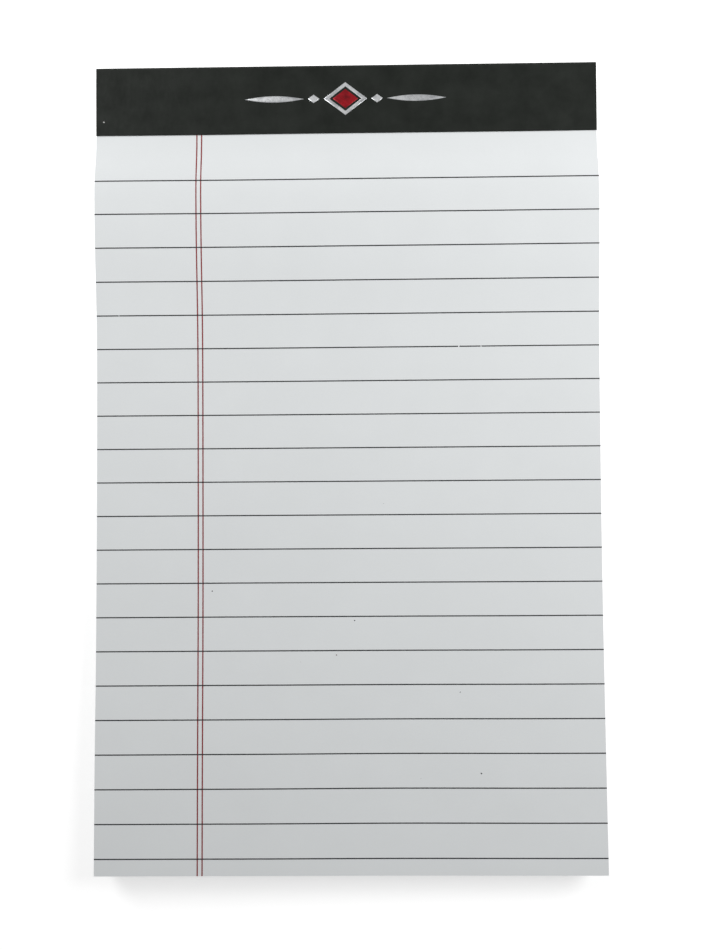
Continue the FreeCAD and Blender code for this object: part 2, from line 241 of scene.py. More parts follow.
@dataclass
class MeshParts:
    """Points and faces of one piece, gathered from closed parts."""

    points: list[Point] = field(default_factory=list)
    faces: list[tuple[int, ...]] = field(default_factory=list)

    def slab(self, top: Sequence[Sequence[Point]], bottom: Sequence[Sequence[Point]]) -> None:
        """Add a closed slab between two grids of points.

        Args:
            top: rows of points of the upper face; a row runs towards +X.
            bottom: rows of points of the lower face, laid out as the upper ones.
        """
        rows, columns = len(top), len(top[0])
        start = len(self.points)
        for grid in (top, bottom):
            for row in grid:
                self.points.extend(row)
        under = rows * columns

        def at(j: int, i: int, low: int = 0) -> int:
            """Number of one point by its row and column, of the lower face where low is 1."""
            return start + low * under + j * columns + i

        for j in range(rows - 1):
            for i in range(columns - 1):
                self.faces.append((at(j, i), at(j, i + 1), at(j + 1, i + 1), at(j + 1, i)))
                self.faces.append(
                    (at(j, i, 1), at(j + 1, i, 1), at(j + 1, i + 1, 1), at(j, i + 1, 1))
                )
        border = [(0, i) for i in range(columns - 1)]
        border += [(j, columns - 1) for j in range(rows - 1)]
        border += [(rows - 1, i) for i in range(columns - 1, 0, -1)]
        border += [(j, 0) for j in range(rows - 1, 0, -1)]
        for (j, i), (jj, ii) in zip(border, border[1:] + border[:1]):
            self.faces.append((at(j, i), at(j, i, 1), at(jj, ii, 1), at(jj, ii)))

    def walls(self, rings: Sequence[Sequence[Point]], closed: bool = False) -> int:
        """Add rings of points and the walls from each ring to the next.

        Args:
            rings: rings of equally many points.
            closed: whether walls also join the last ring to the first.

        Returns:
            Number of the first point added.
        """
        start = len(self.points)
        count = len(rings[0])
        for ring in rings:
            self.points.extend(ring)
        for j in range(len(rings) if closed else len(rings) - 1):
            near = start + j * count
            far = start + (j + 1) % len(rings) * count
            for i in range(count):
                beside = (i + 1) % count
                self.faces.append((near + i, near + beside, far + beside, far + i))
        return start

    def cone(self, rings: Sequence[Sequence[Point]]) -> None:
        """Add a closed solid of stacked rings whose first and last rings are capped.

        Args:
            rings: rings of equally many points, counter-clockwise and from the bottom up.
        """
        count = len(rings[0])
        start = self.walls(rings)
        last = start + (len(rings) - 1) * count
        self.faces.append(tuple(range(start + count - 1, start - 1, -1)))
        self.faces.append(tuple(range(last, last + count)))

    def piece(
        self, name: str, finish: bpy.types.Material, slot: str | None = None
    ) -> bpy.types.Object:
        """Make the piece, smooth but for its sharp edges, and let it ride with the pad.

        Args:
            name: the piece's name.
            finish: its material.
            slot: not used.

        Returns:
            The piece, linked to the scene.
        """
        mesh = bpy.data.meshes.new(name)
        mesh.from_pydata(self.points, [], self.faces)
        mesh.materials.append(finish)
        mesh.shade_smooth()
        mesh.set_sharp_from_angle(angle=SHARP_ANGLE)
        mesh.update()
        piece = bpy.data.objects.new(name, mesh)
        bpy.context.scene.collection.objects.link(piece)
        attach(piece, BODY)
        log.info("%s: %d points, %d faces", name, len(mesh.vertices), len(mesh.polygons))
        return piece


def surface_grid(
    columns: Sequence[float], rows: Sequence[float], height: Height
) -> list[list[Point]]:
    """Grid of points on a surface given by its height."""
    return [[(x, y, height(x, y)) for x in columns] for y in rows]


# Finishes


class Finishing:
    """Node material under construction, with patterns sized in metres."""

    def __init__(self, name: str) -> None:
        """Start a plain material.

        Args:
            name: the material's name.
        """
        self.material = bpy.data.materials.new(name)
        self.material.use_nodes = True
        self.tree = self.material.node_tree
        self.shader = self.tree.nodes["Principled BSDF"]
        self.place = self.tree.nodes.new("ShaderNodeTexCoord").outputs["Object"]

    def set(self, **values: float) -> None:
        """Set numbers on the shader's own sockets; an underscore stands for a space."""
        for name, value in values.items():
            self.shader.inputs[name.replace("_", " ")].default_value = value

    def stretched(self, x: float, y: float, z: float) -> bpy.types.NodeSocket:
        """Place on the piece, stretched along each axis.

        Args:
            x: scale of a pattern across the pad; below 1 draws it out.
            y: scale along the pad.
            z: scale upwards.

        Returns:
            Place to read a pattern at.
        """
        mapping = self.tree.nodes.new("ShaderNodeMapping")
        mapping.inputs["Scale"].default_value = (x, y, z)
        self.tree.links.new(self.place, mapping.inputs["Vector"])
        return mapping.outputs["Vector"]

    def noise(
        self,
        size: float,
        detail: float = 3.0,
        rough: float = 0.55,
        place: bpy.types.NodeSocket | None = None,
    ) -> bpy.types.NodeSocket:
        """Cloudy pattern whose patches are about one size across.

        Args:
            size: width of a patch.
            detail: layers of ever finer patches.
            rough: how much the finer layers count.
            place: place to read the pattern at, the plain one by default.

        Returns:
            Pattern from 0 to 1.
        """
        node = self.tree.nodes.new("ShaderNodeTexNoise")
        node.inputs["Scale"].default_value = 1 / size
        node.inputs["Detail"].default_value = detail
        node.inputs["Roughness"].default_value = rough
        self.tree.links.new(place or self.place, node.inputs["Vector"])
        return node.outputs["Fac"]

    def pebbles(self, size: float) -> bpy.types.NodeSocket:
        """Pattern of rounded cells about one size across.

        Args:
            size: width of a cell.

        Returns:
            Way to the nearest cell's middle, smoothed.
        """
        node = self.tree.nodes.new("ShaderNodeTexVoronoi")
        node.feature = "SMOOTH_F1"
        node.inputs["Scale"].default_value = 1 / size
        self.tree.links.new(self.place, node.inputs["Vector"])
        return node.outputs["Distance"]

    def steps(
        self, value: bpy.types.NodeSocket, stops: Sequence[tuple[float, Colour]]
    ) -> bpy.types.NodeSocket:
        """Colours read from a ramp.

        Args:
            value: where on the ramp to read.
            stops: places on the ramp with their colours, in order.

        Returns:
            The colour read.
        """
        node = self.tree.nodes.new("ShaderNodeValToRGB")
        ramp = node.color_ramp
        while len(ramp.elements) < len(stops):
            ramp.elements.new(0.5)
        for element, (position, colour) in zip(ramp.elements, stops):
            element.position = position
            element.color = colour
        self.tree.links.new(value, node.inputs["Fac"])
        return node.outputs["Color"]

    def band(
        self, value: bpy.types.NodeSocket, low: float, high: float, to_low: float, to_high: float
    ) -> bpy.types.NodeSocket:
        """Number spread from one range to another and kept inside it.

        Args:
            value: the number.
            low: start of its range.
            high: end of its range.
            to_low: result at the start.
            to_high: result at the end.

        Returns:
            The number in its new range.
        """
        node = self.tree.nodes.new("ShaderNodeMapRange")
        ends = {"From Min": low, "From Max": high, "To Min": to_low, "To Max": to_high}
        for name, end in ends.items():
            node.inputs[name].default_value = end
        self.tree.links.new(value, node.inputs["Value"])
        return node.outputs["Result"]

    def maths(
        self,
        operation: str,
        first: bpy.types.NodeSocket,
        second: bpy.types.NodeSocket | float = 0.0,
    ) -> bpy.types.NodeSocket:
        """Result of one sum on one or two values.

        Args:
            operation: kind of sum, as the node names it.
            first: first value.
            second: second value, where the sum takes two.

        Returns:
            The sum's result.
        """
        node = self.tree.nodes.new("ShaderNodeMath")
        node.operation = operation
        self.tree.links.new(first, node.inputs[0])
        if isinstance(second, bpy.types.NodeSocket):
            self.tree.links.new(second, node.inputs[1])
        else:
            node.inputs[1].default_value = second
        return node.outputs["Value"]

    def axis(self, name: str) -> bpy.types.NodeSocket:
        """One coordinate of the place on the piece.

        Args:
            name: X, Y or Z.

        Returns:
            The coordinate in metres.
        """
        node = self.tree.nodes.new("ShaderNodeSeparateXYZ")
        self.tree.links.new(self.place, node.inputs["Vector"])
        return node.outputs[name]

    def blend(
        self,
        share: bpy.types.NodeSocket,
        first: bpy.types.NodeSocket | Colour,
        second: bpy.types.NodeSocket | Colour,
    ) -> bpy.types.NodeSocket:
        """Mix of two colours.

        Args:
            share: share of the second colour.
            first: first colour.
            second: second colour.

        Returns:
            The mixed colour.
        """
        node = self.tree.nodes.new("ShaderNodeMix")
        node.data_type = "RGBA"
        self.tree.links.new(share, node.inputs["Factor"])
        for socket, colour in ((node.inputs[6], first), (node.inputs[7], second)):
            if isinstance(colour, bpy.types.NodeSocket):
                self.tree.links.new(colour, socket)
            else:
                socket.default_value = colour
        return node.outputs[2]

    def colour(self, source: bpy.types.NodeSocket) -> None:
        """Give the shader its colour."""
        self.tree.links.new(source, self.shader.inputs["Base Color"])

    def roughness(self, pattern: bpy.types.NodeSocket, least: float, most: float) -> None:
        """Give the shader a roughness that varies with a pattern."""
        varied = self.band(pattern, NOISE_LOW, NOISE_HIGH, least, most)
        self.tree.links.new(varied, self.shader.inputs["Roughness"])

    def relief(self, *layers: tuple[bpy.types.NodeSocket, float, float]) -> None:
        """Raise the surface by layers of pattern, each with its depth and strength.

        Args:
            layers: for each layer its pattern, its depth and its strength from 0 to 1.
        """
        normal = None
        for height, depth, strength in layers:
            bump = self.tree.nodes.new("ShaderNodeBump")
            bump.inputs["Distance"].default_value = depth
            bump.inputs["Strength"].default_value = strength
            self.tree.links.new(height, bump.inputs["Height"])
            if normal is not None:
                self.tree.links.new(normal, bump.inputs["Normal"])
            normal = bump.outputs["Normal"]
        self.tree.links.new(normal, self.shader.inputs["Normal"])


@dataclass(frozen=True)
class RuleMarks:
    """Where the rules run off the leaves and mark the block's sides."""

    first: float
    pitch: float
    width: float
    half_width: float


@dataclass(frozen=True)
class PaperFinish:
    """Smooth white writing paper with a faint cloudiness and fibre."""

    name: str = "writing_paper"
    tone: Colour = linear(230, 233, 234)
    shade: float = 0.965
    cloud: float = 11 * MM
    fibre: float = 0.35 * MM
    fibre_share: float = 0.4
    rough: tuple[float, float] = (0.78, 0.9)
    sheen: float = 0.3
    relief: tuple[float, float] = (0.03 * MM, 0.25)
    marks: RuleMarks | None = None
    mark_tone: Colour = linear(70, 72, 78)
    mark_share: float = 0.24
    mark_core: float = 0.4
    mark_depth: float = 0.2 * MM

    def build(self) -> bpy.types.Material:
        """Make the material.

        Returns:
            The finished material.
        """
        work = Finishing(self.name)
        cloud = work.noise(self.cloud, detail=4.0)
        fibre = work.noise(self.fibre, 5.0, 0.65, work.stretched(0.6, 1.0, 1.0))
        mixed = work.maths(
            "ADD",
            work.maths("MULTIPLY", cloud, 1 - self.fibre_share),
            work.maths("MULTIPLY", fibre, self.fibre_share),
        )
        shaded = scaled(self.tone, self.shade)
        colour = work.steps(mixed, [(NOISE_LOW, shaded), (NOISE_HIGH, self.tone)])
        if self.marks:
            colour = self.marked(work, colour, self.marks)
        work.colour(colour)
        work.roughness(fibre, *self.rough)
        work.set(Specular_IOR_Level=self.sheen)
        work.relief((fibre, *self.relief))
        return work.material

    def marked(
        self, work: Finishing, colour: bpy.types.NodeSocket, marks: RuleMarks
    ) -> bpy.types.NodeSocket:
        """Darken the block's sides faintly where every leaf's rules run off them.

        Args:
            work: material under construction.
            colour: the paper's colour so far.
            marks: where the rules run off.

        Returns:
            The colour with the marks.
        """
        along = work.maths("SUBTRACT", work.axis("Y"), marks.first)
        turns = work.maths("DIVIDE", along, marks.pitch)
        off = work.maths("ABSOLUTE", work.maths("SUBTRACT", turns, work.maths("ROUND", turns)))
        width = marks.width / marks.pitch
        near = work.band(off, self.mark_core * width, width, 1, 0)
        out = work.maths("ABSOLUTE", work.axis("X"))
        side = work.maths("GREATER_THAN", out, marks.half_width - self.mark_depth)
        below = work.maths("LESS_THAN", turns, 0.5)
        share = work.maths("MULTIPLY", work.maths("MULTIPLY", near, side), below)
        return work.blend(work.maths("MULTIPLY", share, self.mark_share), colour, self.mark_tone)


@dataclass(frozen=True)
class LeatheretteFinish:
    """Charcoal leatherette paper: fine pebbled grain, matte, slightly rubbed at the fold."""

    pad: PadSizes
    name: str = "charcoal_leatherette"
    dark: Colour = linear(31, 34, 31)
    light: Colour = linear(40, 43, 40)
    rubbed: Colour = linear(62, 64, 61)
    grain: float = 0.55 * MM
    cloud: float = 6 * MM
    crease: float = 0.9 * MM
    rub_near: float = 0.2 * MM
    rub_far: float = 0.8 * MM
    rub_back: float = 0.9 * MM
    rough: tuple[float, float] = (0.5, 0.66)
    sheen: float = 0.08
    grain_relief: tuple[float, float] = (0.05 * MM, 0.35)
    crease_relief: tuple[float, float] = (0.04 * MM, 0.25)

    def build(self) -> bpy.types.Material:
        """Make the material.

        Returns:
            The finished material.
        """
        work = Finishing(self.name)
        head, near, far = self.pad.head, self.rub_near, self.rub_far
        grain = work.pebbles(self.grain)
        cloud = work.noise(self.cloud, 5.0, 0.6)
        creases = work.noise(self.crease, 4.0, 0.6, work.stretched(1.0, 0.35, 1.0))
        colour = work.steps(cloud, [(0.32, self.dark), (0.68, self.light)])
        top = self.pad.page_top + self.pad.strip_thickness
        spine = work.band(work.axis("Y"), head - self.rub_back, head - near, 0, 1)
        upper = work.band(work.axis("Z"), top - far, top - near, 0, 1)
        lower = work.band(work.axis("Z"), near, far, 1, 0)
        fold = work.maths("MULTIPLY", spine, work.maths("MAXIMUM", upper, lower))
        rub = work.band(creases, 0.42, 0.62, 0.1, 0.7)
        worn = work.maths("MULTIPLY", fold, rub)
        work.colour(work.blend(worn, colour, self.rubbed))
        work.roughness(creases, *self.rough)
        work.set(Specular_IOR_Level=self.sheen)
        work.relief((grain, *self.grain_relief), (creases, *self.crease_relief))
        return work.material


@dataclass(frozen=True)
class ChipboardFinish:
    """Grey-brown recycled board with light and dark fibres."""

    name: str = "grey_chipboard"
    dark: Colour = linear(142, 134, 120)
    middle: Colour = linear(163, 155, 141)
    light: Colour = linear(184, 177, 164)
    stain: Colour = linear(150, 143, 131)
    fleck: Colour = linear(88, 80, 70)
    fibre: float = 0.8 * MM
    cloud: float = 14 * MM
    fleck_size: float = 0.45 * MM
    rough: tuple[float, float] = (0.82, 0.96)
    sheen: float = 0.2
    relief: tuple[float, float] = (0.06 * MM, 0.5)

    def build(self) -> bpy.types.Material:
        """Make the material.

        Returns:
            The finished material.
        """
        work = Finishing(self.name)
        fibres = work.noise(self.fibre, 6.0, 0.7, work.stretched(0.35, 1.0, 1.0))
        cloud = work.noise(self.cloud, detail=4.0)
        flecks = work.noise(self.fleck_size, 2.0, 0.4, work.stretched(0.5, 1.0, 1.0))
        tones = [(NOISE_LOW, self.dark), (0.5, self.middle), (0.72, self.light)]
        base = work.steps(fibres, tones)
        toned = work.blend(work.band(cloud, 0.35, 0.65, 0, 0.25), base, self.stain)
        flecked = work.band(flecks, 0.68, 0.76, 0, 0.7)
        work.colour(work.blend(flecked, toned, self.fleck))
        work.roughness(fibres, *self.rough)
        work.set(Specular_IOR_Level=self.sheen)
        work.relief((fibres, *self.relief))
        return work.material


@dataclass(frozen=True)
class InkFinish:
    """Offset printing ink, laid a little unevenly."""

    name: str
    full: Colour
    thin: Colour
    patch: float = 1.4 * MM
    rough: tuple[float, float] = (0.55, 0.7)
    sheen: float = 0.3

    def build(self) -> bpy.types.Material:
        """Make the material.

        Returns:
            The finished material.
        """
        work = Finishing(self.name)
        patchy = work.noise(self.patch, 4.0, 0.6)
        work.colour(work.steps(patchy, [(0.42, self.full), (0.75, self.thin)]))
        work.roughness(patchy, *self.rough)
        work.set(Specular_IOR_Level=self.sheen)
        return work.material


@dataclass(frozen=True)
class FoilFinish:
    """Hot-stamped metal foil, slightly crinkled over the grain below it."""

    name: str
    bright: Colour
    dull: Colour
    metal: float
    crinkle: float = 0.35
    fine: float = 0.5 * MM
    fine_depth: float = 0.05 * MM
    broad: float = 2.2 * MM
    broad_depth: float = 0.12 * MM
    rough: tuple[float, float] = (0.24, 0.4)

    def build(self) -> bpy.types.Material:
        """Make the material.

        Returns:
            The finished material.
        """
        work = Finishing(self.name)
        fine = work.noise(self.fine, 3.0, 0.6)
        broad = work.noise(self.broad, detail=2.0)
        work.colour(work.steps(broad, [(0.35, self.dull), (0.6, self.bright)]))
        work.roughness(fine, *self.rough)
        work.set(Metallic=self.metal)
        work.relief(
            (fine, self.fine_depth, self.crinkle), (broad, self.broad_depth, self.crinkle)
        )
        return work.material


@dataclass(frozen=True)
class WireFinish:
    """Drawn steel wire with fine marks along it."""

    name: str = "drawn_wire"
    dull: Colour = linear(150, 152, 156)
    bright: Colour = linear(196, 198, 201)
    mark: float = 0.12 * MM
    rough: tuple[float, float] = (0.3, 0.45)
    relief: tuple[float, float] = (0.01 * MM, 0.3)

    def build(self) -> bpy.types.Material:
        """Make the material.

        Returns:
            The finished material.
        """
        work = Finishing(self.name)
        drawn = work.noise(self.mark, 3.0, 0.6, work.stretched(0.05, 1.0, 1.0))
        work.colour(work.steps(drawn, [(NOISE_LOW, self.dull), (NOISE_HIGH, self.bright)]))
        work.roughness(drawn, *self.rough)
        work.set(Metallic=1.0)
        work.relief((drawn, *self.relief))
        return work.material


# Pieces


@dataclass(frozen=True)
class LeafBlock:
    """The block of leaves: a fanned stack with the ruled leaf on top."""

    pad: PadSizes
    form: PageForm
    leaf_count: int = 50
    unevenness: float = 0.35
    fill: float = 0.85
    trim_spread: float = 0.05 * MM
    columns: int = 13
    rows: int = 45
    top_columns: int = 49
    top_rows: int = 121
    seed: int = 11

    def head_end(self, share: float) -> float:
        """Where a leaf ends at the head, drawn back where the strip's fold is rounded.

        Args:
            share: share of the block's thickness at which the leaf's top lies.

        Returns:
            Place of the leaf's end along the pad.
        """
        pad = self.pad
        down = (1 - share) * (pad.page_top - pad.board_top)
        inside = max(pad.fold_radius - down, 0.0)
        return pad.head_inside - pad.fold_radius + math.sqrt(pad.fold_radius**2 - inside**2)

    def shares(self) -> list[float]:
        """Share of the block's thickness at which each leaf's top lies, unevenly fanned.

        Returns:
            One share for each leaf, from the lowest to the top one.
        """
        chance = random.Random(self.seed)
        steps = [1 + self.unevenness * chance.random() for _ in range(self.leaf_count)]
        total = sum(steps)
        reached = 0.0
        shares = []
        for step in steps:
            reached += step / total
            shares.append(reached)
        return shares

    def leaf(
        self, parts: MeshParts, share: float, columns: int, rows: int, shift: tuple[float, float]
    ) -> None:
        """Add one leaf.

        Args:
            parts: mesh that takes the leaf.
            share: share of the block's thickness at which its top lies.
            columns: points across the leaf.
            rows: points along the leaf.
            shift: how far the trimmed edges lie inside the block's, at the side and the foot.
        """
        pad = self.pad
        side, foot = shift
        half = pad.half_width - side
        across = spread(-half, half, columns)
        along = spread(pad.foot + foot, self.head_end(share), rows)
        top = self.form.level(share)
        thickness = self.fill * (pad.page_top - pad.board_top) / self.leaf_count
        parts.slab(
            surface_grid(across, along, top),
            surface_grid(across, along, lambda x, y: top(x, y) - thickness),
        )

    def build(self, paper: bpy.types.Material, top_paper: bpy.types.Material) -> None:
        """Make the stack and the top leaf.

        Args:
            paper: finish of the stack.
            top_paper: finish of the top leaf.
        """
        chance = random.Random(self.seed + 1)
        stack = MeshParts()
        shares = self.shares()
        for share in shares[:-1]:
            shift = (chance.random() * self.trim_spread, chance.random() * self.trim_spread)
            self.leaf(stack, share, self.columns, self.rows, shift)
        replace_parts(stack.piece("leaf_stack", paper, "paper"), "ruled_sheets")
        top = MeshParts()
        self.leaf(top, shares[-1], self.top_columns, self.top_rows, (0.0, 0.0))
        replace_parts(top.piece("top_leaf", top_paper, "paper"), "ruled_sheets")


class Direction(Enum):
    """Which way a printed line runs."""

    ACROSS = "across"
    ALONG = "along"


@dataclass(frozen=True)
class PrintedLine:
    """One ruled line, drawn as a thin raised film on the top leaf."""

    direction: Direction
    place: float
    start: float
    end: float
    width: float
    lift: float
    thickness: float = 0.02 * MM
    step: float = 3.0 * MM

    def add(self, parts: MeshParts, form: PageForm) -> None:
        """Add the line's film to a mesh.

        Args:
            parts: mesh that takes the film.
            form: form of the leaf that it is printed on.
        """
        count = max(2, round((self.end - self.start) / self.step) + 1)
        stations = spread(self.start, self.end, count)
        sides = [self.place - self.width / 2, self.place + self.width / 2]
        columns, rows = (
            (stations, sides) if self.direction is Direction.ACROSS else (sides, stations)
        )
        upper = self.lift + self.thickness
        parts.slab(
            surface_grid(columns, rows, lambda x, y: form.height(x, y) + upper),
            surface_grid(columns, rows, lambda x, y: form.height(x, y) + self.lift),
        )


@dataclass(frozen=True)
class Missing:
    """Short break in one rule where the ink didn't take."""

    rule: int
    x: float
    length: float


@dataclass(frozen=True)
class Ruling:
    """Printed lines of the top leaf."""

    pad: PadSizes
    form: PageForm
    count: int = 21
    first: float = 29.65 * MM
    pitch: float = 8.47 * MM
    width: float = 0.27 * MM
    margins: tuple[float, ...] = (25.65 * MM, 26.85 * MM)
    margin_width: float = 0.3 * MM
    rule_lift: float = 0.02 * MM
    margin_lift: float = 0.01 * MM
    breaks: tuple[Missing, ...] = (
        Missing(4, -57.8 * MM, 0.2 * MM),
        Missing(5, 28.2 * MM, 0.35 * MM),
        Missing(5, 33.8 * MM, 0.25 * MM),
    )

    def rule_place(self, number: int) -> float:
        """Place along the pad of one horizontal rule, counted from the head."""
        return self.pad.head - self.first - number * self.pitch

    def spans(self, number: int) -> list[tuple[float, float]]:
        """Stretches of one rule between its breaks.

        Args:
            number: the rule, counted from the head.

        Returns:
            Start and end of each stretch, from left to right.
        """
        half = self.pad.half_width
        ends = [-half]
        for gap in self.breaks:
            if gap.rule == number:
                ends += [gap.x - gap.length / 2, gap.x + gap.length / 2]
        ends.append(half)
        return list(zip(ends[::2], ends[1::2]))

    def build(self, rule_ink: bpy.types.Material, margin_ink: bpy.types.Material) -> None:
        """Make the horizontal rules and the margin rules.

        Args:
            rule_ink: ink of the horizontal rules.
            margin_ink: ink of the margin rules.
        """
        rules = MeshParts()
        for number in range(self.count):
            for start, end in self.spans(number):
                PrintedLine(
                    Direction.ACROSS,
                    self.rule_place(number),
                    start,
                    end,
                    self.width,
                    self.rule_lift,
                ).add(rules, self.form)
        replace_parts(rules.piece("horizontal_rules", rule_ink, "rule_ink"), "rule_lines")
        margin = MeshParts()
        for offset in self.margins:
            PrintedLine(
                Direction.ALONG,
                offset - self.pad.half_width,
                self.pad.foot,
                self.pad.flap_edge,
                self.margin_width,
                self.margin_lift,
            ).add(margin, self.form)
        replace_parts(margin.piece("margin_rules", margin_ink, "margin_ink"), "margin_lines")


@dataclass(frozen=True)
class Speck:
    """Small foreign fleck in the paper or on the strip, by its place and width."""

    x: float
    y: float
    size: float


@dataclass(frozen=True)
class Specks:
    """Flecks of one tone, each an uneven flat disc."""

    name: str
    flecks: tuple[Speck, ...]
    height: Height
    sides: int = 9
    least: float = 0.7
    extra: float = 0.5
    thickness: float = 0.015 * MM
    seed: int = 5

    def build(self, finish: bpy.types.Material) -> None:
        """Make the flecks as one piece.

        Args:
            finish: the flecks' material.
        """
        chance = random.Random(self.seed)
        parts = MeshParts()
        for fleck in self.flecks:
            outline = []
            for side in range(self.sides):
                turn = math.tau * side / self.sides
                reach = fleck.size / 2 * (self.least + self.extra * chance.random())
                outline.append(
                    (fleck.x + reach * math.cos(turn), fleck.y + reach * math.sin(turn))
                )
            rings = [
                [(x, y, self.height(x, y) + up) for x, y in outline]
                for up in (0.0, self.thickness)
            ]
            parts.cone(rings)
        parts.piece(self.name, finish)


@dataclass(frozen=True)
class BindingStrip:
    """The strip folded over the head: front flap, spine and back flap in one sheet."""

    pad: PadSizes
    columns: int = 97
    fold_steps: int = 7
    front_steps: int = 18
    back_steps: int = 9
    cut_wave: float = 0.09 * MM
    wave_length: float = 38 * MM
    wave_layer: tuple[float, float] = (0.3, 0.7)
    swell: float = 0.025 * MM
    swell_reach: tuple[float, float] = (21 * MM, 9 * MM)
    swell_layer: float = 2.1

    def section(self) -> list[tuple[tuple[float, float], tuple[float, float]]]:
        """Pairs of outer and inner points along the folded sheet, as (y, z).

        Returns:
            The pairs, from the front flap's edge over the head to the back flap's edge.
        """
        pad = self.pad
        top = pad.page_top + pad.strip_thickness
        inner = pad.fold_radius
        outer = inner + pad.strip_thickness
        turn_y = pad.head_inside - inner
        pairs = [
            ((y, top), (y, pad.page_top))
            for y in spread(pad.flap_edge, turn_y, self.front_steps)[:-1]
        ]
        centres = (pad.page_top - inner, pad.strip_thickness + inner)
        for centre, begin in zip(centres, (math.pi / 2, 0.0)):
            for angle in spread(begin, begin - math.pi / 2, self.fold_steps):
                along, up = math.cos(angle), math.sin(angle)
                pairs.append(
                    (
                        (turn_y + outer * along, centre + outer * up),
                        (turn_y + inner * along, centre + inner * up),
                    )
                )
        pairs += [
            ((y, 0.0), (y, pad.strip_thickness))
            for y in spread(turn_y, pad.back_edge, self.back_steps)[1:]
        ]
        return pairs

    def place(self, x: float, y: float, z: float) -> Point:
        """Point of the strip with its slightly uneven cut edge and swell.

        Args:
            x: place across the pad.
            y: place along the pad in the even strip.
            z: height in the even strip.

        Returns:
            The point, moved a little where it lies on the front.
        """
        pad = self.pad
        if z < pad.page_top - pad.fold_radius:
            return (x, y, z)
        reach = (pad.head - y) / (pad.head - pad.flap_edge)
        wave = smooth_noise.noise(Vector((x / self.wave_length, *self.wave_layer)))
        across, along = self.swell_reach
        rise = smooth_noise.noise(Vector((x / across, y / along, self.swell_layer)))
        lift = self.swell * max(0.0, rise) * math.sin(math.pi * min(max(reach, 0.0), 1.0))
        return (x, y + self.cut_wave * wave * max(reach, 0.0) ** 3, z + lift)

    def build(self, leatherette: bpy.types.Material) -> None:
        """Make the strip as one closed folded sheet.

        Args:
            leatherette: the strip's material.
        """
        pairs = self.section()
        loop = [outer for outer, _ in pairs] + [inner for _, inner in reversed(pairs)]
        stations = spread(-self.pad.half_width, self.pad.half_width, self.columns)
        parts = MeshParts()
        parts.walls([[self.place(x, y, z) for y, z in loop] for x in stations])
        count = len(loop)
        last = (len(stations) - 1) * count
        for k in range(len(pairs) - 1):
            mate = count - 1 - k
            parts.faces.append((k, mate, mate - 1, k + 1))
            parts.faces.append((last + k, last + k + 1, last + mate - 1, last + mate))
        strip = parts.piece("folded_strip", leatherette, "leatherette")
        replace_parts(strip, "binding_strip")


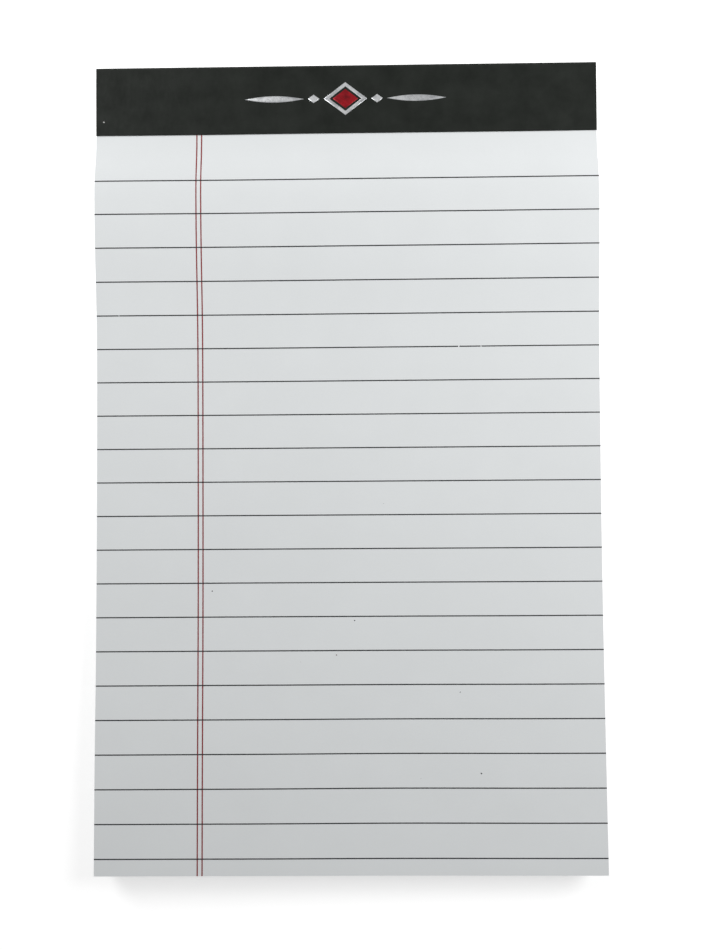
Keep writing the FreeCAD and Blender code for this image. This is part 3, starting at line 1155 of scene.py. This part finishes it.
@dataclass(frozen=True)
class FoilOrnament:
    """Printer's ornament stamped in foil on the front flap."""

    pad: PadSizes
    rise: float = 0.08 * MM
    span: float = 51.0 * MM
    gap: float = 1.1 * MM
    swelled: float = 1.6 * MM
    bead: tuple[float, float] = (2.9 * MM, 2.2 * MM)
    lozenge: tuple[float, float] = (11.0 * MM, 8.4 * MM)
    frame_width: float = 0.85 * MM
    red: tuple[float, float] = (6.4 * MM, 4.9 * MM)
    rule_stations: int = 33
    tip: float = 0.03 * MM
    full_from: float = 0.25 * MM
    film: float = 0.004 * MM
    band: tuple[float, ...] = (-1.0, -0.93, -0.75, -0.4, 0.0, 0.4, 0.75, 0.93, 1.0)
    cushion: tuple[float, ...] = (0.0, 0.03, 0.1, 0.22, 0.4, 0.65)

    def swell(self, across: float) -> float:
        """Height of rounded foil, from nothing at either edge (-1 and 1) to its full rise."""
        return self.rise * math.sqrt(1 - across * across)

    def ring(self, width: float, height: float, middle: float, up: float) -> list[Point]:
        """Four corners of an upright lozenge at one height, counter-clockwise.

        Args:
            width: width of the lozenge.
            height: height of the lozenge on the flap.
            middle: its middle across the pad.
            up: how far it lies above the flap.

        Returns:
            The corners, from the right one round.
        """
        y = (self.pad.head + self.pad.flap_edge) / 2
        z = self.pad.page_top + self.pad.strip_thickness + up
        return [
            (middle + width / 2, y, z),
            (middle, y + height / 2, z),
            (middle - width / 2, y, z),
            (middle, y - height / 2, z),
        ]

    def inset(self, width: float, height: float, edge: float) -> tuple[float, float]:
        """Width and height of a lozenge drawn in evenly by an edge."""
        slant = math.hypot(width, height)
        return width - 2 * edge * slant / height, height - 2 * edge * slant / width

    def solid_lozenge(
        self, parts: MeshParts, size: tuple[float, float], middle: float = 0.0
    ) -> None:
        """Add a lozenge whose face swells like a cushion.

        Args:
            parts: mesh that takes the lozenge.
            size: its width and height.
            middle: its middle across the pad.
        """
        width, height = size
        reach = width * height / (2 * math.hypot(width, height))
        parts.cone(
            [
                self.ring(
                    *self.inset(width, height, share * reach),
                    middle,
                    self.swell((1 - share) ** 4),
                )
                for share in self.cushion
            ]
        )

    def frame(self, parts: MeshParts) -> None:
        """Add the lozenge-shaped frame, rounded across its width.

        Args:
            parts: mesh that takes the frame.
        """
        parts.walls(
            [
                self.ring(
                    *self.inset(*self.lozenge, (1 + across) / 2 * self.frame_width),
                    0.0,
                    self.swell(across),
                )
                for across in self.band
            ],
            closed=True,
        )

    def swelled_rule(self, parts: MeshParts, left: float, right: float) -> None:
        """Add a rule that swells to its middle, with a rounded face.

        Args:
            parts: mesh that takes the rule.
            left: its left end.
            right: its right end.
        """
        y0 = (self.pad.head + self.pad.flap_edge) / 2
        base = self.pad.page_top + self.pad.strip_thickness
        top, bottom = [], []
        for v in self.band:
            upper, lower = [], []
            for x in spread(left, right, self.rule_stations):
                u = (2 * x - left - right) / (right - left)
                half = max(self.swelled / 2 * (1 - u * u), self.tip)
                y = y0 + v * half
                up = self.swell(v) * min(1.0, half / self.full_from)
                upper.append((x, y, base + up + self.film))
                lower.append((x, y, base))
            top.append(upper)
            bottom.append(lower)
        parts.slab(top, bottom)

    def build(self, silver: bpy.types.Material, red: bpy.types.Material) -> None:
        """Make the silver and the red foil.

        Args:
            silver: the silver foil's material.
            red: the red foil's material.
        """
        bead_middle = self.lozenge[0] / 2 + self.gap + self.bead[0] / 2
        rule_start = bead_middle + self.bead[0] / 2 + self.gap
        parts = MeshParts()
        self.frame(parts)
        for side in (-1, 1):
            self.solid_lozenge(parts, self.bead, side * bead_middle)
        self.swelled_rule(parts, rule_start, self.span / 2)
        self.swelled_rule(parts, -self.span / 2, -rule_start)
        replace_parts(parts.piece("silver_ornament", silver, "silver_foil"), "silver_foil")
        centre = MeshParts()
        self.solid_lozenge(centre, self.red)
        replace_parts(centre.piece("red_lozenge", red, "red_foil"), "red_foil")


# Stage


@dataclass(frozen=True)
class SoftLamp:
    """Round soft light aimed at the pad."""

    name: str
    place: Point
    power: float


@dataclass(frozen=True)
class Studio:
    """Plain floor, soft sky and a soft light to each side of the head."""

    floor_half: float = 1.5
    floor_drop: float = 0.05 * MM
    floor_tone: Colour = (0.9, 0.9, 0.9, 1.0)
    floor_roughness: float = 0.95
    glow: float = 0.42
    zenith: float = 0.34
    horizon: float = 0.3
    zenith_from: float = 0.8
    lamp_size: float = 0.2
    lamps: tuple[SoftLamp, ...] = (
        SoftLamp("left_lamp", (-0.218, 0.229, 0.23), 0.62),
        SoftLamp("right_lamp", (0.247, 0.115, 0.228), 0.62),
    )

    def floor(self) -> None:
        """Make the floor, seen as clean white round the pad but keeping its shadow."""
        half, down = self.floor_half, -self.floor_drop
        mesh = bpy.data.meshes.new("floor")
        corners = [
            (-half, -half, down),
            (half, -half, down),
            (half, half, down),
            (-half, half, down),
        ]
        mesh.from_pydata(corners, [], [(0, 1, 2, 3)])
        material = bpy.data.materials.new("pale_floor")
        material.use_nodes = True
        nodes, links = material.node_tree.nodes, material.node_tree.links
        shader = nodes["Principled BSDF"]
        shader.inputs["Base Color"].default_value = self.floor_tone
        shader.inputs["Roughness"].default_value = self.floor_roughness
        shader.inputs["Specular IOR Level"].default_value = 0.0
        seen = nodes.new("ShaderNodeLightPath")
        bright = nodes.new("ShaderNodeBsdfDiffuse")
        bright.inputs["Color"].default_value = WHITE
        glow = nodes.new("ShaderNodeEmission")
        glow.inputs["Strength"].default_value = self.glow
        both = nodes.new("ShaderNodeAddShader")
        pick = nodes.new("ShaderNodeMixShader")
        links.new(bright.outputs[0], both.inputs[0])
        links.new(glow.outputs[0], both.inputs[1])
        shown = seen.outputs["Is Camera Ray"]
        for other in ("Is Glossy Ray", "Is Transmission Ray"):
            either = nodes.new("ShaderNodeMath")
            either.operation = "MAXIMUM"
            links.new(shown, either.inputs[0])
            links.new(seen.outputs[other], either.inputs[1])
            shown = either.outputs["Value"]
        links.new(shown, pick.inputs[0])
        links.new(shader.outputs[0], pick.inputs[1])
        links.new(both.outputs[0], pick.inputs[2])
        links.new(pick.outputs[0], nodes["Material Output"].inputs["Surface"])
        mesh.materials.append(material)
        floor = bpy.data.objects.new("floor", mesh)
        bpy.context.scene.collection.objects.link(floor)

    def sky(self) -> None:
        """Light the scene evenly from all round, a little less at the horizon."""
        world = bpy.data.worlds.new("soft_sky")
        world.use_nodes = True
        nodes, links = world.node_tree.nodes, world.node_tree.links
        place = nodes.new("ShaderNodeTexCoord")
        split = nodes.new("ShaderNodeSeparateXYZ")
        ramp = nodes.new("ShaderNodeMapRange")
        ends = {
            "From Min": 0.0,
            "From Max": self.zenith_from,
            "To Min": self.horizon,
            "To Max": self.zenith,
        }
        for name, end in ends.items():
            ramp.inputs[name].default_value = end
        links.new(place.outputs["Generated"], split.inputs[0])
        links.new(split.outputs["Z"], ramp.inputs["Value"])
        links.new(ramp.outputs["Result"], nodes["Background"].inputs["Strength"])
        nodes["Background"].inputs["Color"].default_value = WHITE
        bpy.context.scene.world = world

    def hang(self, lamp: SoftLamp) -> None:
        """Hang one soft light and aim it at the pad.

        Args:
            lamp: the light, with its place and power.
        """
        source = bpy.data.lights.new(lamp.name, "AREA")
        source.shape = "DISK"
        source.size = self.lamp_size
        source.energy = lamp.power
        light = bpy.data.objects.new(lamp.name, source)
        light.location = lamp.place
        light.rotation_euler = (-Vector(lamp.place)).to_track_quat("-Z", "Y").to_euler()
        bpy.context.scene.collection.objects.link(light)

    def build(self) -> None:
        """Set the stage."""
        self.floor()
        self.sky()
        for lamp in self.lamps:
            self.hang(lamp)
        bpy.context.scene.view_settings.view_transform = "Standard"


@dataclass(frozen=True)
class Viewpoint:
    """Camera held above the pad, as the photograph was taken."""

    place: Point = (4.177 * MM, -5.284 * MM, 185.395 * MM)
    rows: tuple[Point, Point, Point] = (
        (0.999912, 0.00715, 0.011208),
        (-0.006989, 0.999874, -0.014253),
        (-0.011308, 0.014173, 0.999836),
    )
    focal_pixels: float = 714.0
    frame_height: float = 950.0
    sensor: float = 36.0
    nearest: float = 0.01

    def build(self) -> None:
        """Make the camera."""
        lens = bpy.data.cameras.new("camera")
        lens.sensor_width = self.sensor
        lens.lens = self.sensor * self.focal_pixels / self.frame_height
        lens.clip_start = self.nearest
        camera = bpy.data.objects.new("camera", lens)
        camera.location = self.place
        camera.rotation_euler = Matrix(self.rows).to_euler()
        bpy.context.scene.collection.objects.link(camera)
        bpy.context.scene.camera = camera


# Tones and flecks of this pad

RULE_INK = InkFinish("rule_ink", linear(24, 25, 28), linear(46, 48, 52))
MARGIN_INK = InkFinish("margin_ink", linear(134, 34, 38), linear(152, 56, 58))
SILVER = FoilFinish("silver_foil", linear(236, 238, 240), linear(196, 198, 201), metal=0.75)
RED = FoilFinish("red_foil", linear(168, 18, 32), linear(120, 8, 20), metal=0.5)
GREY_FLECK = InkFinish("grey_fleck", linear(60, 60, 62), linear(96, 96, 98))
WARM_FLECK = InkFinish("warm_fleck", linear(96, 70, 70), linear(124, 96, 96))
DUST = InkFinish("dust", linear(176, 176, 172), linear(200, 200, 196))

GREY_FLECKS = (
    Speck(-34.32 * MM, -31.69 * MM, 0.3 * MM),
    Speck(1.44 * MM, -39.21 * MM, 0.33 * MM),
    Speck(27.64 * MM, -57.05 * MM, 0.28 * MM),
    Speck(32.64 * MM, -76.95 * MM, 0.4 * MM),
    Speck(8.91 * MM, -9.94 * MM, 0.1 * MM),
    Speck(17.64 * MM, -78.19 * MM, 0.12 * MM),
)
WARM_FLECKS = (
    Speck(-3.14 * MM, -47.75 * MM, 0.28 * MM),
    Speck(-12.17 * MM, -49.42 * MM, 0.1 * MM),
)
DUST_FLECKS = (Speck(-61.54 * MM, 87.51 * MM, 0.36 * MM),)


def dress(name: str, finish: bpy.types.Material) -> None:
    """Give a piece of the frame its finish and leave its mesh as it is."""
    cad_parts[name].material_slots[0].material = finish
    log.info("%s: mesh as built, new finish", name)


def main() -> None:
    """Dress the pad piece by piece and set the stage."""
    logging.basicConfig(level=logging.INFO, format="%(message)s")
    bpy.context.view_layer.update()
    pad = PadSizes.from_frame()
    form = PageForm(pad)
    ruling = Ruling(pad, form)
    marks = RuleMarks(ruling.rule_place(0), ruling.pitch, ruling.width, pad.half_width)
    LeafBlock(pad, form).build(
        PaperFinish("stacked_paper", marks=marks).build(), PaperFinish().build()
    )
    ruling.build(RULE_INK.build(), MARGIN_INK.build())
    BindingStrip(pad).build(LeatheretteFinish(pad).build())
    FoilOrnament(pad).build(SILVER.build(), RED.build())
    Specks("grey_flecks", GREY_FLECKS, form.height).build(GREY_FLECK.build())
    Specks("warm_flecks", WARM_FLECKS, form.height).build(WARM_FLECK.build())
    strip_top = pad.page_top + pad.strip_thickness
    Specks("dust", DUST_FLECKS, lambda x, y: strip_top).build(DUST.build())
    dress("backing_board", ChipboardFinish().build())
    dress("staples", WireFinish().build())
    Studio().build()
    Viewpoint().build()


if __name__ == "__main__":
    main()
